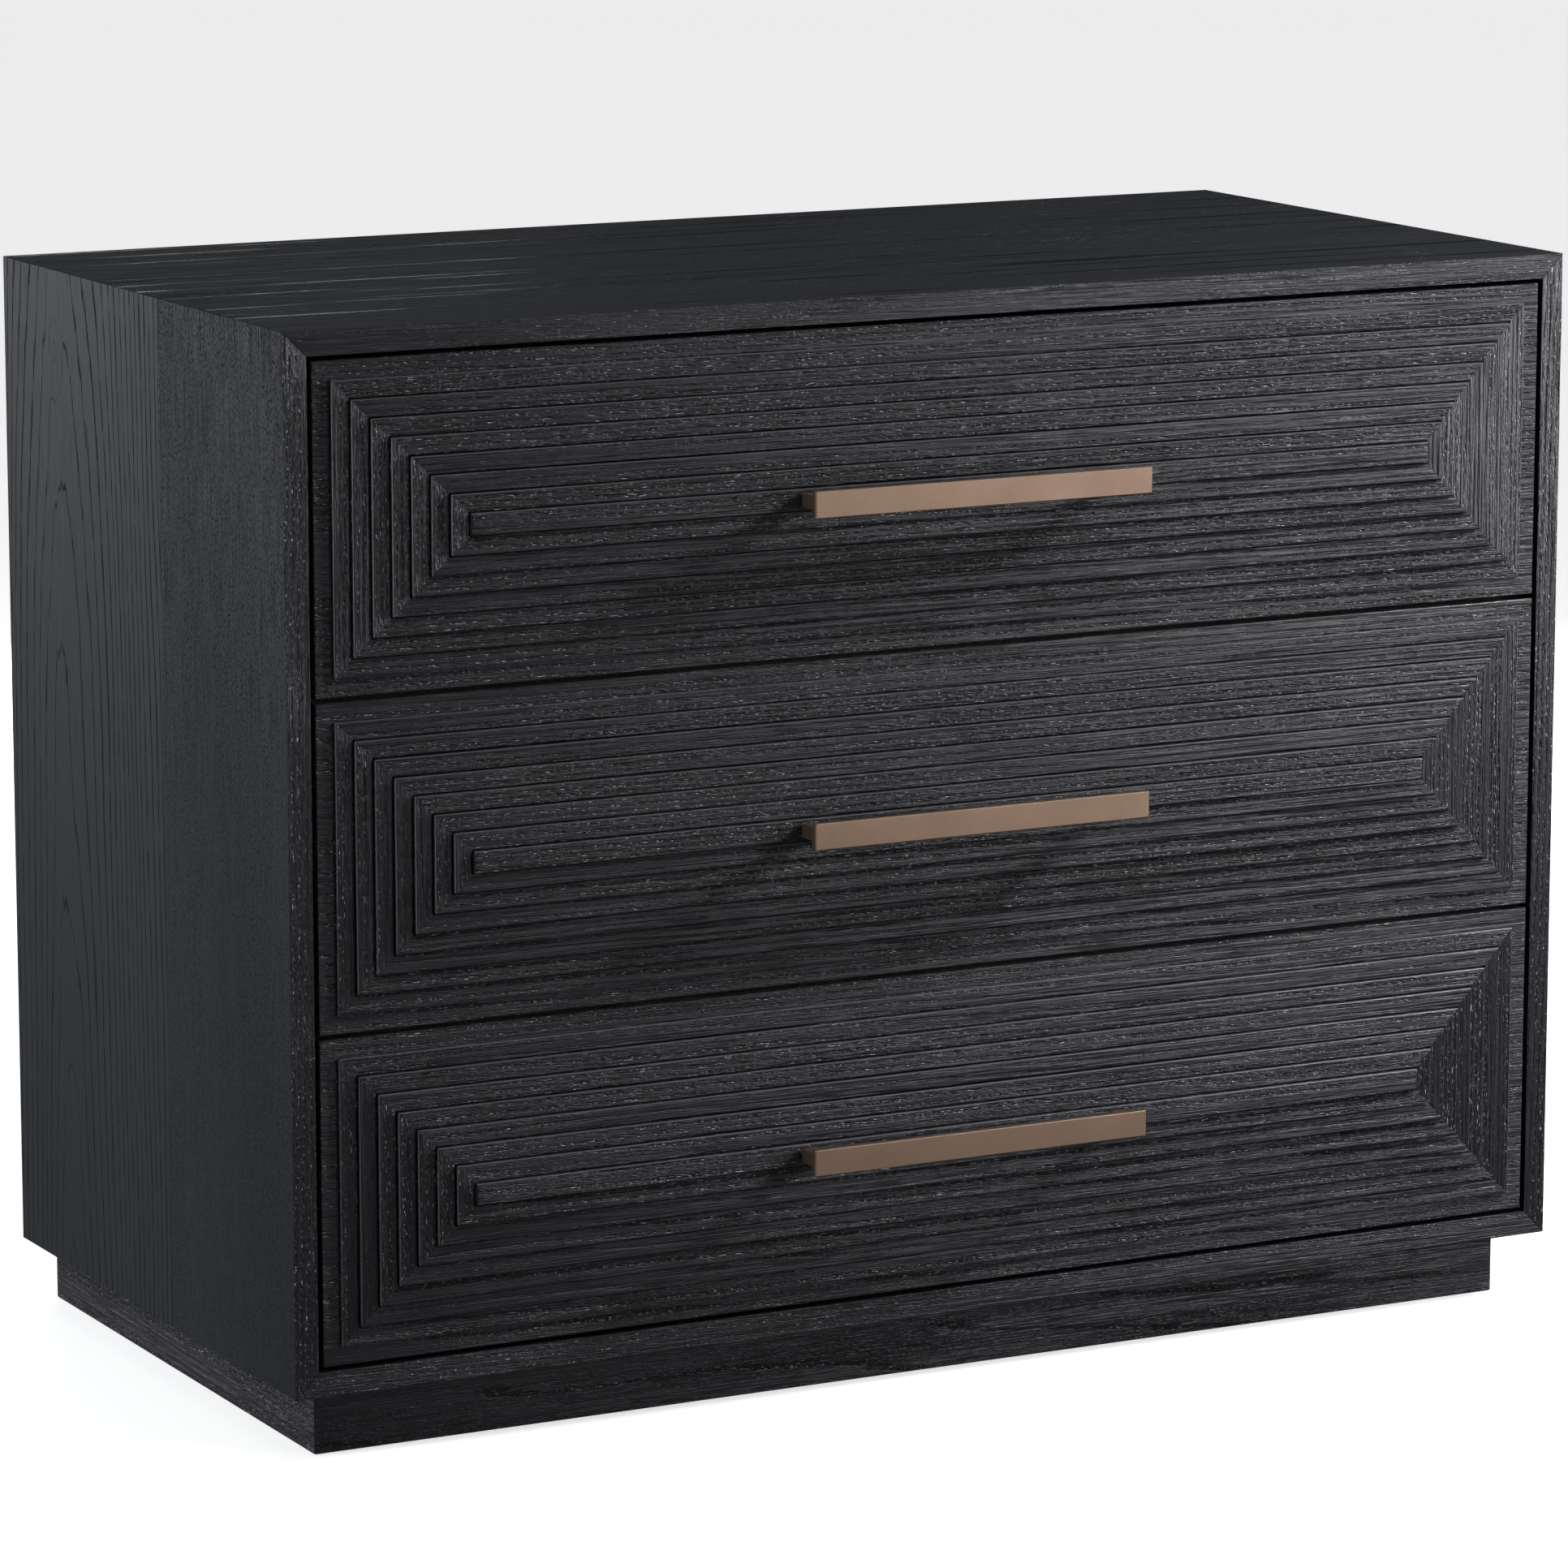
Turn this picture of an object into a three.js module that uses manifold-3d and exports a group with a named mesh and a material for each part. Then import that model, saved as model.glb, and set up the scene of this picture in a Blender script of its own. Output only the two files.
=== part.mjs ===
// A low nightstand of dark brushed oak: a mitred case on a recessed plinth, and three full-width
// drawers on ball-bearing slides. Each drawer front carries nested frames that step out towards a
// centre bar, and a bar pull. Millimetres, +Z up, front towards -Y. The origin is on the floor,
// midway between the faces of the pulls and the back of the case.

import * as THREE from "three";
import { mergeVertices } from "three/addons/utils/BufferGeometryUtils.js";
import Module from "manifold-3d";

const wasm = await Module();
wasm.setup();

// ---- Driving dimensions ----

// Case and plinth
const CASE_WIDTH = 914;
const CASE_DEPTH = 457;
const OVERALL_HEIGHT = 705;
const PANEL_THICKNESS = 16;
const BACK_THICKNESS = 6;
const REBATE_WIDTH = 8;
const PLINTH_HEIGHT = 44;
const PLINTH_THICKNESS = 18;
const PLINTH_SIDE_INSET = 24;
const PLINTH_FRONT_INSET = 27;
const GLUE_BLOCK_LEG = 40;
const GLUE_BLOCK_FLOOR_GAP = 6;

// Divider rails, behind the gaps between the drawer fronts
const RAIL_THICKNESS = 18;
const RAIL_DEPTH = 60;
const RAIL_SETBACK = 2;

// Drawer fronts
const DRAWER_NAMES = ["lower", "middle", "upper"];
const REVEAL = 3;
const FRONT_THICKNESS = 18;
const STEP_WIDTH = 12;
const STEP_RISE = 2.5;
const CENTRE_BAR_MIN_HEIGHT = 12;

// Drawer boxes
const BOX_WALL = 12;
const BOX_BOTTOM_THICKNESS = 6;
const BOX_BOTTOM_HEIGHT = 12;
const GROOVE_DEPTH = 6;
const BOX_BELOW = 12;
const BOX_ABOVE = 30;

// Slides: three nested channels on each side of a drawer
const SLIDE_SPACE = 12.7;
const SLIDE_HEIGHT = 45;
const SLIDE_SHEET = 1.2;
const SLIDE_CLEARANCE = 1.5;
const SLIDE_BALL_SPACE = 3.5;
const SLIDE_LENGTH_STEP = 50;
const SLIDE_SETBACK = 3;
const MIDDLE_MEMBER_SHORTER = 10;

// Pulls
const PULL_LENGTH = 240;
const PULL_HEIGHT = 17;
const PULL_THICKNESS = 5;
const PULL_PROJECTION = 25;
const POST_WIDTH = 10;
const POST_HEIGHT = 9;
const POST_INSET = 3;

// Gap left between pieces that touch, as glue lines and fitting tolerance
const JOINT_GAP = 0.3;

// How far a cutting tool runs past a face, and a joined piece runs into its neighbour
const OVERRUN = 1;

// ---- Derived sizes ----

const halfWidth = CASE_WIDTH / 2;
const openingBottom = PLINTH_HEIGHT + PANEL_THICKNESS;
const openingTop = OVERALL_HEIGHT - PANEL_THICKNESS;
const openingHalfWidth = halfWidth - PANEL_THICKNESS;

const drawerCount = DRAWER_NAMES.length;
const frontHeight = (openingTop - openingBottom - REVEAL * (drawerCount + 1)) / drawerCount;
const frontWidth = 2 * (openingHalfWidth - REVEAL);
const stepCount = Math.floor((frontHeight - CENTRE_BAR_MIN_HEIGHT) / 2 / STEP_WIDTH);
const stepsProjection = stepCount * STEP_RISE;

const overallDepth = CASE_DEPTH + stepsProjection + PULL_PROJECTION;
const caseBack = overallDepth / 2;
const caseFront = caseBack - CASE_DEPTH;
const backPanelFace = caseBack - BACK_THICKNESS;

const boxHalfWidth = openingHalfWidth - SLIDE_SPACE;
const boxHeight = frontHeight - BOX_BELOW - BOX_ABOVE;
const boxStart = FRONT_THICKNESS + JOINT_GAP;
const slideStart = FRONT_THICKNESS + SLIDE_SETBACK;
const slideRoom = CASE_DEPTH - BACK_THICKNESS - slideStart;
const slideLength = SLIDE_LENGTH_STEP * Math.floor(slideRoom / SLIDE_LENGTH_STEP);

// ---- Materials ----

function material(color, roughness, metalness) {
  return new THREE.MeshStandardMaterial({ color, roughness, metalness });
}

const charcoalOak = () => material(0x25262a, 0.62, 0);
const boxWood = () => material(0xb99c74, 0.5, 0);
const zincSteel = () => material(0xa9adb0, 0.35, 1);
const bronze = () => material(0xa98a72, 0.38, 1);

// ---- Helpers ----

// A named mesh.
function piece(name, geometry, finish) {
  const mesh = new THREE.Mesh(geometry, finish);
  mesh.name = name;
  return mesh;
}

// A box geometry between two corners.
function slab(from, to) {
  const size = to.map((high, axis) => high - from[axis]);
  const centre = to.map((high, axis) => (high + from[axis]) / 2);
  return new THREE.BoxGeometry(...size).translate(...centre);
}

// An outline in X and Z, run along Y from yFrom to yTo.
function prismAlongY(points, yFrom, yTo) {
  const shape = new THREE.Shape(points.map(([x, z]) => new THREE.Vector2(x, z)));
  const geometry = new THREE.ExtrudeGeometry(shape, { depth: yTo - yFrom, bevelEnabled: false });
  return geometry.rotateX(Math.PI / 2).translate(0, yTo, 0);
}

// An outline in X and Y, run along Z from zFrom to zTo.
function prismAlongZ(points, zFrom, zTo) {
  const shape = new THREE.Shape(points.map(([x, y]) => new THREE.Vector2(x, y)));
  const geometry = new THREE.ExtrudeGeometry(shape, { depth: zTo - zFrom, bevelEnabled: false });
  return geometry.translate(0, 0, zFrom);
}

function toSolid(geometry) {
  const bare = geometry.clone();
  bare.deleteAttribute("normal");
  bare.deleteAttribute("uv");
  const merged = mergeVertices(bare);
  const mesh = new wasm.Mesh({
    numProp: 3,
    vertProperties: merged.attributes.position.array,
    triVerts: new Uint32Array(merged.index.array),
  });
  return new wasm.Manifold(mesh);
}

function toGeometry(solid) {
  const mesh = solid.getMesh();
  const geometry = new THREE.BufferGeometry();
  geometry.setAttribute("position", new THREE.BufferAttribute(mesh.vertProperties, 3));
  geometry.setIndex(new THREE.BufferAttribute(mesh.triVerts, 1));
  geometry.computeVertexNormals();
  return geometry;
}

function cut(geometry, tools) {
  const solid = tools.reduce((left, tool) => left.subtract(toSolid(tool)), toSolid(geometry));
  return toGeometry(solid);
}

function join(geometries) {
  const [first, ...rest] = geometries.map(toSolid);
  return toGeometry(rest.reduce((sum, next) => sum.add(next), first));
}

// ---- Case: four panels mitred at their long edges, rebated for the back ----

// One panel's cross-section, as pairs of along and across: a trapezium with 45-degree ends. Its outer
// face is at `outer`, and `halfLength` is half the case's size along the panel. Each mitre face is
// backed off by half a joint gap.
function mitredSection(halfLength, outer, inward) {
  const backOff = (JOINT_GAP / 2) * Math.SQRT2;
  const outerHalf = halfLength - backOff;
  const innerHalf = halfLength - PANEL_THICKNESS - backOff;
  const inner = outer + inward * PANEL_THICKNESS;
  return [[-outerHalf, outer], [outerHalf, outer], [innerHalf, inner], [-innerHalf, inner]];
}

function casePanels() {
  const middleHeight = (OVERALL_HEIGHT + PLINTH_HEIGHT) / 2;
  const halfHeight = (OVERALL_HEIGHT - PLINTH_HEIGHT) / 2;
  const rebate = slab(
    [-openingHalfWidth - REBATE_WIDTH, backPanelFace - JOINT_GAP, openingBottom - REBATE_WIDTH],
    [openingHalfWidth + REBATE_WIDTH, caseBack + OVERRUN, openingTop + REBATE_WIDTH],
  );
  const upright = (points) => points.map(([along, across]) => [across, along + middleHeight]);
  const sections = {
    top_panel: mitredSection(halfWidth, OVERALL_HEIGHT, -1),
    bottom_panel: mitredSection(halfWidth, PLINTH_HEIGHT, 1),
    left_side_panel: upright(mitredSection(halfHeight, -halfWidth, 1)),
    right_side_panel: upright(mitredSection(halfHeight, halfWidth, -1)),
  };
  return Object.entries(sections).map(([name, section]) => {
    const panel = prismAlongY(section, caseFront, caseBack);
    return piece(name, cut(panel, [rebate]), charcoalOak());
  });
}

function backPanel() {
  const reach = REBATE_WIDTH - JOINT_GAP;
  const geometry = slab(
    [-openingHalfWidth - reach, backPanelFace, openingBottom - reach],
    [openingHalfWidth + reach, caseBack, openingTop + reach],
  );
  return piece("back_panel", geometry, charcoalOak());
}

// Rails across the case, level with the gaps between the fronts and just behind them.
function dividerRails() {
  const rearOfFronts = caseFront + FRONT_THICKNESS + RAIL_SETBACK;
  const railEnd = openingHalfWidth - JOINT_GAP;
  return ["lower_divider_rail", "upper_divider_rail"].map((name, index) => {
    const gapMiddle = frontBottom(index + 1) - REVEAL / 2;
    const geometry = slab(
      [-railEnd, rearOfFronts, gapMiddle - RAIL_THICKNESS / 2],
      [railEnd, rearOfFronts + RAIL_DEPTH, gapMiddle + RAIL_THICKNESS / 2],
    );
    return piece(name, geometry, boxWood());
  });
}

// ---- Plinth: a frame of four boards under the case, mitred in front, with glue blocks in its corners ----

function plinth() {
  const top = PLINTH_HEIGHT - JOINT_GAP;
  const outer = halfWidth - PLINTH_SIDE_INSET;
  const inner = outer - PLINTH_THICKNESS;
  const front = caseFront + PLINTH_FRONT_INSET;
  const frontRear = front + PLINTH_THICKNESS;
  const backOff = (JOINT_GAP / 2) * Math.SQRT2;
  const frontOutline = [
    [-outer + backOff, front],
    [outer - backOff, front],
    [inner - backOff, frontRear],
    [-inner + backOff, frontRear],
  ];
  const sideOutline = (side) => [
    [side * outer, front + backOff],
    [side * outer, caseBack],
    [side * inner, caseBack],
    [side * inner, frontRear + backOff],
  ];
  const backEnd = inner - JOINT_GAP;
  const backBoard = slab([-backEnd, caseBack - PLINTH_THICKNESS, 0], [backEnd, caseBack, top]);
  return [
    piece("plinth_front", prismAlongZ(frontOutline, 0, top), charcoalOak()),
    piece("plinth_left", prismAlongZ(sideOutline(-1), 0, top), charcoalOak()),
    piece("plinth_right", prismAlongZ(sideOutline(1), 0, top), charcoalOak()),
    piece("plinth_back", backBoard, charcoalOak()),
    ...glueBlocks(inner - JOINT_GAP, frontRear + JOINT_GAP, caseBack - PLINTH_THICKNESS - JOINT_GAP, top),
  ];
}

// Triangular blocks that hold the plinth's corners together.
function glueBlocks(cornerX, frontY, backY, top) {
  const corners = [["front", frontY, 1], ["back", backY, -1]];
  const sides = [["left", -1], ["right", 1]];
  return corners.flatMap(([where, cornerY, inwardY]) => sides.map(([side, sign]) => {
    const outline = [
      [sign * cornerX, cornerY],
      [sign * cornerX, cornerY + inwardY * GLUE_BLOCK_LEG],
      [sign * (cornerX - GLUE_BLOCK_LEG), cornerY],
    ];
    const geometry = prismAlongZ(outline, GLUE_BLOCK_FLOOR_GAP, top);
    return piece(`glue_block_${where}_${side}`, geometry, boxWood());
  }));
}

// ---- Slides: cabinet, middle and drawer members, nested channels about one centre line ----

// A channel's cross-section: the web's outer and inner faces, and flanges that reach to flangeEnd.
// The distances are measured from the case side's inner face. side is -1 on the left, 1 on the right.
function channelSection(side, webOuter, webInner, flangeEnd, halfHeight) {
  const inside = halfHeight - SLIDE_SHEET;
  const points = [
    [webOuter, -halfHeight],
    [flangeEnd, -halfHeight],
    [flangeEnd, -inside],
    [webInner, -inside],
    [webInner, inside],
    [flangeEnd, inside],
    [flangeEnd, halfHeight],
    [webOuter, halfHeight],
  ];
  return points.map(([distance, z]) => [side * (openingHalfWidth - distance), z]);
}

function slideSections(side) {
  const cabinetWeb = JOINT_GAP;
  const drawerWeb = SLIDE_SPACE - JOINT_GAP;
  const middleWeb = cabinetWeb + SLIDE_SHEET + SLIDE_CLEARANCE;
  const middleEnd = drawerWeb - SLIDE_CLEARANCE;
  const cabinetEnd = middleEnd - SLIDE_CLEARANCE;
  const drawerEnd = middleWeb + SLIDE_SHEET + SLIDE_CLEARANCE;
  const nesting = SLIDE_SHEET + SLIDE_BALL_SPACE;
  const half = SLIDE_HEIGHT / 2;
  return {
    cabinet: channelSection(side, cabinetWeb, cabinetWeb + SLIDE_SHEET, cabinetEnd, half),
    middle: channelSection(side, middleWeb, middleWeb + SLIDE_SHEET, middleEnd, half - nesting),
    drawer: channelSection(side, drawerWeb, drawerWeb - SLIDE_SHEET, drawerEnd, half - 2 * nesting),
  };
}

// The three members on one side of a drawer, in the drawer's frame.
function slide(drawerName, sideName, side) {
  const section = slideSections(side);
  const prefix = `${drawerName}_${sideName}_slide`;
  const trim = MIDDLE_MEMBER_SHORTER / 2;
  const cabinet = prismAlongY(section.cabinet, slideStart, slideStart + slideLength);
  const middle = prismAlongY(section.middle, slideStart + trim, slideStart + slideLength - trim);
  const drawer = prismAlongY(section.drawer, boxStart, boxStart + slideLength);
  const members = [
    piece(`${prefix}_cabinet_member`, cabinet, zincSteel()),
    piece(`${prefix}_middle_member`, middle, zincSteel()),
    piece(`${prefix}_drawer_member`, drawer, zincSteel()),
  ];
  members.forEach((member) => member.position.setZ(BOX_BELOW + boxHeight / 2));
  return members;
}

// ---- Drawers, each in its own frame: y = 0 at the case's front edge, z = 0 at its front's lower edge ----

// Bottom edge of the drawer front at this place in the stack, counted from the lowest.
function frontBottom(index) {
  return openingBottom + REVEAL + index * (frontHeight + REVEAL);
}

function frontBoard(drawerName) {
  const geometry = slab([-frontWidth / 2, 0, 0], [frontWidth / 2, FRONT_THICKNESS, frontHeight]);
  return piece(`${drawerName}_drawer_front_board`, geometry, charcoalOak());
}

// The nested frames and the centre bar, glued up as one. Each step is smaller than the last and
// stands further out.
function steppedFrames(drawerName) {
  const steps = Array.from({ length: stepCount }, (_, index) => {
    const inset = (index + 1) * STEP_WIDTH;
    const face = -(index + 1) * STEP_RISE;
    return slab(
      [inset - frontWidth / 2, face, inset],
      [frontWidth / 2 - inset, -JOINT_GAP, frontHeight - inset],
    );
  });
  return piece(`${drawerName}_drawer_stepped_frames`, join(steps), charcoalOak());
}

// A flat bar on two short posts that stand on the centre bar.
function pull(drawerName) {
  const foot = -stepsProjection - JOINT_GAP;
  const face = -stepsProjection - PULL_PROJECTION;
  const back = face + PULL_THICKNESS;
  const bar = slab([-PULL_LENGTH / 2, face, -PULL_HEIGHT / 2], [PULL_LENGTH / 2, back, PULL_HEIGHT / 2]);
  const posts = [-1, 1].map((side) => {
    const outer = PULL_LENGTH / 2 - POST_INSET;
    const middle = side * (outer - POST_WIDTH / 2);
    return slab(
      [middle - POST_WIDTH / 2, back - OVERRUN, -POST_HEIGHT / 2],
      [middle + POST_WIDTH / 2, foot, POST_HEIGHT / 2],
    );
  });
  const mesh = piece(`${drawerName}_drawer_pull`, join([bar, ...posts]), bronze());
  mesh.position.setZ(frontHeight / 2);
  return mesh;
}

// Four walls grooved for the bottom board.
function drawerBox(drawerName) {
  const back = boxStart + slideLength;
  const top = BOX_BELOW + boxHeight;
  const innerHalf = boxHalfWidth - BOX_WALL;
  const wallEnd = innerHalf - JOINT_GAP;
  const grooveHalf = innerHalf + GROOVE_DEPTH;
  const bottomFace = BOX_BELOW + BOX_BOTTOM_HEIGHT;
  const groove = slab(
    [-grooveHalf, boxStart + BOX_WALL - GROOVE_DEPTH, bottomFace - JOINT_GAP],
    [grooveHalf, back - BOX_WALL + GROOVE_DEPTH, bottomFace + BOX_BOTTOM_THICKNESS + JOINT_GAP],
  );
  const walls = {
    left_side: slab([-boxHalfWidth, boxStart, BOX_BELOW], [-innerHalf, back, top]),
    right_side: slab([innerHalf, boxStart, BOX_BELOW], [boxHalfWidth, back, top]),
    box_front: slab([-wallEnd, boxStart, BOX_BELOW], [wallEnd, boxStart + BOX_WALL, top]),
    box_back: slab([-wallEnd, back - BOX_WALL, BOX_BELOW], [wallEnd, back, top]),
  };
  const bottom = slab(
    [JOINT_GAP - grooveHalf, boxStart + BOX_WALL - GROOVE_DEPTH + JOINT_GAP, bottomFace],
    [grooveHalf - JOINT_GAP, back - BOX_WALL + GROOVE_DEPTH - JOINT_GAP, bottomFace + BOX_BOTTOM_THICKNESS],
  );
  const grooved = Object.entries(walls).map(([part, wall]) => {
    return piece(`${drawerName}_drawer_${part}`, cut(wall, [groove]), boxWood());
  });
  return [...grooved, piece(`${drawerName}_drawer_bottom`, bottom, boxWood())];
}

function drawer(drawerName, index) {
  const group = new THREE.Group();
  group.add(frontBoard(drawerName));
  group.add(steppedFrames(drawerName));
  group.add(pull(drawerName));
  group.add(...drawerBox(drawerName));
  group.add(...slide(drawerName, "left", -1));
  group.add(...slide(drawerName, "right", 1));
  group.position.set(0, caseFront, frontBottom(index));
  return group;
}

// ---- Assembly ----

const group = new THREE.Group();
group.add(...casePanels());
group.add(backPanel());
group.add(...dividerRails());
group.add(...plinth());
DRAWER_NAMES.forEach((drawerName, index) => group.add(drawer(drawerName, index)));

export default group;
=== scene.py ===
import math
import random

import bpy
import numpy
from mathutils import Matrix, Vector


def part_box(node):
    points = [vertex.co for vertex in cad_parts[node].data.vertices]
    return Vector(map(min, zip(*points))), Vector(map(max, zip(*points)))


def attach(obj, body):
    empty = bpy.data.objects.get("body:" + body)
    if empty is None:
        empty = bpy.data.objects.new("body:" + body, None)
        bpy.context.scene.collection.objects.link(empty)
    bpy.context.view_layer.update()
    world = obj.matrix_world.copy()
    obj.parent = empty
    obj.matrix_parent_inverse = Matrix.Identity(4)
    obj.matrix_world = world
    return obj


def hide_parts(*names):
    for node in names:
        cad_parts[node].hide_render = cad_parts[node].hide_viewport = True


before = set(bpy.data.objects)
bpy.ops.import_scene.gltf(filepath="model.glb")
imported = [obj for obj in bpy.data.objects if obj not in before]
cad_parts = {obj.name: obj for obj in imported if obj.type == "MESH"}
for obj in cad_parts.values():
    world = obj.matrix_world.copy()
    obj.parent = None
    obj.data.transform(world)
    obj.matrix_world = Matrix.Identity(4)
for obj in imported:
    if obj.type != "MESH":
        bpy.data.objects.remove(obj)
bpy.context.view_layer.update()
scene = bpy.context.scene

# ---- Camera ------------------------------------------------------------------------------------
# A long lens on a stand, a little above the case and round to its left. It has no shift, so that
# the other views stay centred.
STAND_PLACE = (-2.119, -4.058, 1.221)
DEGREES_DOWN = 10.70
DEGREES_ROUND = 27.44
LENS_LENGTH = 161.8
lens_aim = (math.radians(90 - DEGREES_DOWN), 0, math.radians(-DEGREES_ROUND))
bpy.ops.object.camera_add(location=STAND_PLACE, rotation=lens_aim)
camera = bpy.context.object
camera.data.lens = LENS_LENGTH
scene.camera = camera


# ---- Studio ------------------------------------------------------------------------------------
# A wide pale floor that glows a little, under an overhead light tent. Soft boxes light the fronts
# from the right and from above, and the left side from far off. A strip behind glances off the top,
# and two low boxes keep the right side and the back from going dark.
def node(tree, kind, sockets, **settings):
    """One shader node: sockets are wired or set by name or number, settings are its own."""
    made = tree.nodes.new("ShaderNode" + kind)
    for name, value in settings.items():
        setattr(made, name, value)
    for name, value in sockets.items():
        if isinstance(value, bpy.types.NodeSocket):
            tree.links.new(value, made.inputs[name])
        else:
            made.inputs[name].default_value = value
    return made


def smooth_step(tree, value, low, high, start=0.0, end=1.0):
    """The start where the value is low and the end where it is high, with a soft step between."""
    return node(tree, "MapRange", {0: value, 1: low, 2: high, 3: start, 4: end},
                interpolation_type="SMOOTHSTEP").outputs[0]


def blank(name):
    """A material with nothing in it yet."""
    material = bpy.data.materials.new(name)
    material.use_nodes = True
    material.node_tree.nodes.clear()
    return material


FLOOR_SIDE = 90
FLOOR_DROP = 0.0004
FLOOR_GLOW = 0.66
PAPER_DULL = (0.86, 0.865, 0.87, 1)
PAPER_PALE = (0.88, 0.88, 0.885, 1)
bpy.ops.mesh.primitive_plane_add(size=FLOOR_SIDE, location=(0, 0, -FLOOR_DROP))
floor = bpy.context.object
floor.name = "studio_floor"
bpy.ops.object.transform_apply()
paper = blank("floor_paper")
tree = paper.node_tree
fibre = node(tree, "TexNoise", {"Scale": 40.0, "Detail": 2.0})
tone = node(tree, "MixRGB", {0: fibre.outputs["Fac"], 1: PAPER_DULL, 2: PAPER_PALE})
sheet = node(tree, "BsdfPrincipled", {"Base Color": tone.outputs[0], "Roughness": 0.9,
                                      "Specular IOR Level": 0.1, "Emission Color": (1, 1, 1, 1),
                                      "Emission Strength": FLOOR_GLOW})
node(tree, "OutputMaterial", {"Surface": sheet.outputs[0]})
floor.data.materials.append(paper)
floor.visible_diffuse = False
floor.visible_glossy = False

ROOF_GLOW = 0.50
BOUNCE_GLOW = 0.17
WALL_GLOW = 0.012
tent = bpy.data.worlds.new("light_tent")
scene.world = tent
tent.use_nodes = True
tree = tent.node_tree
tree.nodes.clear()
way = node(tree, "TexCoord", {})
height = node(tree, "SeparateXYZ", {0: way.outputs["Generated"]}).outputs[2]
roof = smooth_step(tree, height, 0.6, 0.95, 0.0, ROOF_GLOW)
bounce = smooth_step(tree, height, -0.3, 0.05, BOUNCE_GLOW, WALL_GLOW)
glow = node(tree, "Math", {0: roof, 1: bounce}, operation="ADD")
sky = node(tree, "Background", {"Color": (1, 1, 1, 1), "Strength": glow.outputs[0]})
node(tree, "OutputWorld", {"Surface": sky.outputs[0]})


def soft_box(name, place, aim, width, tall, power, colour):
    """A soft box on a stand, turned to face what it lights and kept out of the picture."""
    facing = (Vector(place) - Vector(aim)).to_track_quat("Z", "Y").to_euler()
    bpy.ops.object.light_add(type="AREA", location=place, rotation=facing)
    lamp = bpy.context.object
    lamp.name = name
    lamp.data.shape = "RECTANGLE"
    lamp.data.size = width
    lamp.data.size_y = tall
    lamp.data.energy = power
    lamp.data.color = colour
    lamp.visible_camera = False
    return lamp


NEUTRAL = (1.0, 1.0, 1.0)
VIOLET = (0.96, 0.96, 1.0)
COOL = (0.96, 0.97, 1.0)
CLEAR = (0.96, 0.98, 1.0)
BLUE = (0.94, 0.97, 1.0)
soft_box("key_soft_box", (1.35, -1.9, 0.55), (0.2, -0.2, 0.4), 0.7, 0.9, 14.0, VIOLET)
soft_box("boom_soft_box", (1.55, -0.75, 1.40), (0.1, -0.2, 0.4), 0.25, 0.25, 34, COOL)
soft_box("right_soft_box", (1.9, -0.38, 0.55), (0.1, -0.2, 0.4), 0.30, 0.60, 8, COOL)
soft_box("side_soft_box", (-2.1, 2.5, 0.95), (-0.45, 0.0, 0.45), 1.2, 1.1, 22, BLUE)
soft_box("far_left_soft_box", (-3.0, 0.0, 0.85), (-0.45, 0.0, 0.4), 1.2, 1.4, 46, BLUE)
soft_box("rear_soft_box", (0.85, 3.2, 1.25), (-0.3, 0.0, 0.7), 0.8, 0.12, 1.2, CLEAR)
soft_box("right_low_soft_box", (2.3, 0.7, 0.33), (0.45, 0.1, 0.33), 1.2, 0.6, 26, NEUTRAL)
soft_box("back_low_soft_box", (0.9, 2.6, 0.33), (0.0, 0.25, 0.33), 1.4, 0.6, 26, NEUTRAL)
scene.view_settings.view_transform = "Standard"

# ---- Case panels -------------------------------------------------------------------------------
# Four veneered boards, 16 mm thick, mitred together at the corners, each with a brushed front edge
# and a rebate along its back edge for the back panel. Each side's veneer is in two leaves: plain
# rift-sawn wood at the front and an arched figure behind it.
REBATE_WIDTH = 0.008
REBATE_DEPTH = 0.006
MITRE_GAP = 0.0003
CASE_EASING = 0.0008
ARRIS_EASING = 0.0006

# How near a point must lie to count as at a face, at a corner or on a line.
AT_FACE = 0.0005
AT_CORNER = 0.0006
ON_LINE = 0.00002


def hold(piece):
    """Makes a piece the only one in hand."""
    bpy.ops.object.select_all(action="DESELECT")
    piece.select_set(True)
    bpy.context.view_layer.objects.active = piece


def pick(piece, kind, wanted):
    """Opens a piece for editing with only the wanted edges or faces selected."""
    hold(piece)
    bpy.ops.object.mode_set(mode="EDIT")
    bpy.ops.mesh.select_mode(type=kind)
    bpy.ops.mesh.select_all(action="DESELECT")
    bpy.ops.object.mode_set(mode="OBJECT")
    mesh = piece.data
    if kind == "EDGE":
        places = [vertex.co for vertex in mesh.vertices]
        for edge in mesh.edges:
            edge.select = wanted(places[edge.vertices[0]], places[edge.vertices[1]])
    else:
        for face in mesh.polygons:
            face.select = wanted(face.center, face.normal)
    bpy.ops.object.mode_set(mode="EDIT")


def shut():
    """Puts down the piece that pick opened."""
    bpy.ops.object.mode_set(mode="OBJECT")


def sawn(name, low, high):
    """A plain board, planed to size and lying at its place."""
    bpy.ops.object.select_all(action="DESELECT")
    low, high = Vector(low), Vector(high)
    bpy.ops.mesh.primitive_cube_add(size=1, location=(low + high) / 2, scale=high - low)
    piece = bpy.context.object
    piece.name = name
    piece.data.name = name
    bpy.ops.object.transform_apply()
    return piece


def saw(piece, point, facing):
    """A flat cut. What lies on the side that it faces falls away, and the cut face is closed."""
    pick(piece, "FACE", lambda centre, normal: True)
    bpy.ops.mesh.bisect(plane_co=point, plane_no=facing, use_fill=True, clear_outer=True)
    shut()


def score(piece, point, facing):
    """A line across a piece, where one part of it will be treated apart from the other."""
    pick(piece, "FACE", lambda centre, normal: True)
    bpy.ops.mesh.bisect(plane_co=point, plane_no=facing)
    shut()


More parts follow.
